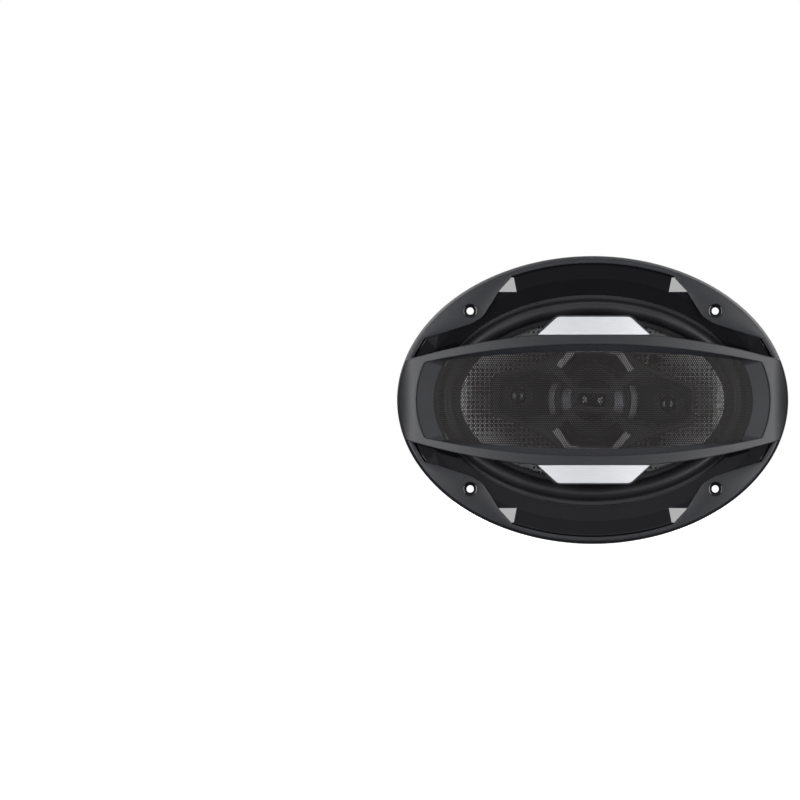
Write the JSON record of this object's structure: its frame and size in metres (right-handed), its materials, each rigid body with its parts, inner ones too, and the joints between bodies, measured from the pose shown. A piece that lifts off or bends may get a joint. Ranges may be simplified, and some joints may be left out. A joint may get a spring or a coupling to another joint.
{
  "type": "coaxial car speaker",
  "caption": "Oval coaxial car speaker with a pod of midrange and tweeters in front of its cone, a stamped basket, and a removable grille with a mesh bridge.",
  "frame": {"origin": "middle of the pattern of mounting slots, on the rear face of the flange", "axes": "-Y is the direction the speaker faces, +X is its long side, +Z is its short side"},
  "size_m": [0.2714, 0.1086, 0.1998],
  "materials": {
    "black_paint": "satin black powder coat",
    "gasket": "crinkled charcoal moulded gasket",
    "rubber": "smooth satin black rubber",
    "steel": "zinc plated",
    "ferrite": "ground ferrite",
    "board": "phenolic board",
    "brass": "bright",
    "tinned": "tinned",
    "cone": "silver film with a printed grid of dots",
    "former": "amber film",
    "copper": "enamelled copper wire",
    "cloth": "resin-treated corrugated cloth",
    "braid": "braided tinsel wire",
    "lead": "cream insulated lead",
    "glue": "black adhesive, glossy",
    "pod_black": "moulded black, ribbed and glossy",
    "pod_grey": "satin dark grey",
    "trim": "satin silver",
    "silver_plastic": "silver paint",
    "dome": "polished black film",
    "sleeve": "shrunk plastic sleeve",
    "charcoal": "satin charcoal",
    "gloss_black": "piano black",
    "mesh": "black perforated steel",
    "badge": "brushed silver"
  },
  "bodies": {
    "frame": {"basket": "black_paint", "gasket": "gasket", "top_plate": "steel", "magnet": "ferrite", "yoke": "steel", "magnet_boot": "rubber", "terminal_board": "board", "terminal_positive": "brass", "terminal_negative": "tinned", "terminal_rivets": "steel", "basket_rivets": "steel", "pod_post": "black_paint", "post_bolt": "steel", "pod_housing": "pod_black", "pod_frame": "pod_grey", "trim_upper": "trim", "trim_lower": "trim", "mid_ring": "silver_plastic", "mid_magnet": "ferrite", "mid_cup": "steel", "mid_surround": "rubber", "tweeter_ring_left": "pod_black", "tweeter_ring_right": "pod_black", "tweeter_magnet_left": "steel", "tweeter_magnet_right": "steel", "tweeter_cup_left": "steel", "tweeter_cup_right": "steel", "capacitors": "sleeve", "surround": "rubber", "spider": "cloth", "tinsel_leads": "braid", "pod_leads": "lead"},
    "cone": {"cone": "cone", "coil_former": "former", "voice_coil": "copper", "lead_dabs": "glue"},
    "mid_cone": {"mid_cone": "dome", "mid_dome": "dome", "mid_coil": "copper"},
    "tweeter_left": {"tweeter_dome_left": "dome", "tweeter_coil_left": "copper"},
    "tweeter_right": {"tweeter_dome_right": "dome", "tweeter_coil_right": "copper"},
    "grille": {"grille_ring": "charcoal", "scallop_upper": "gloss_black", "scallop_lower": "gloss_black", "grille_bridge": "charcoal", "grille_mesh": "mesh", "badge_upper": "badge", "badge_lower": "badge", "bridge_screws": "steel"}
  },
  "joints": [
    {"name": "cone_travel", "type": "slide", "parent": "frame", "child": "cone", "axis": [0, -1, 0], "range_m": [-0.006, 0.006], "stiffness_N_per_m": 2500, "deforming": ["surround", "spider", "tinsel_leads", "pod_leads"]},
    {"name": "mid_travel", "type": "slide", "parent": "frame", "child": "mid_cone", "axis": [0, -1, 0], "range_m": [-0.001, 0.001], "stiffness_N_per_m": 500, "deforming": ["mid_surround"]},
    {"name": "tweeter_left_travel", "type": "slide", "parent": "frame", "child": "tweeter_left", "axis": [0, -1, 0], "range_m": [-0.0003, 0.0003], "stiffness_N_per_m": 150},
    {"name": "tweeter_right_travel", "type": "slide", "parent": "frame", "child": "tweeter_right", "axis": [0, -1, 0], "range_m": [-0.0003, 0.0003], "stiffness_N_per_m": 150},
    {"name": "grille_removal", "type": "slide", "parent": "frame", "child": "grille", "axis": [-0.866, -0.5, 0], "range_m": [0, 0.3]}
  ]
}
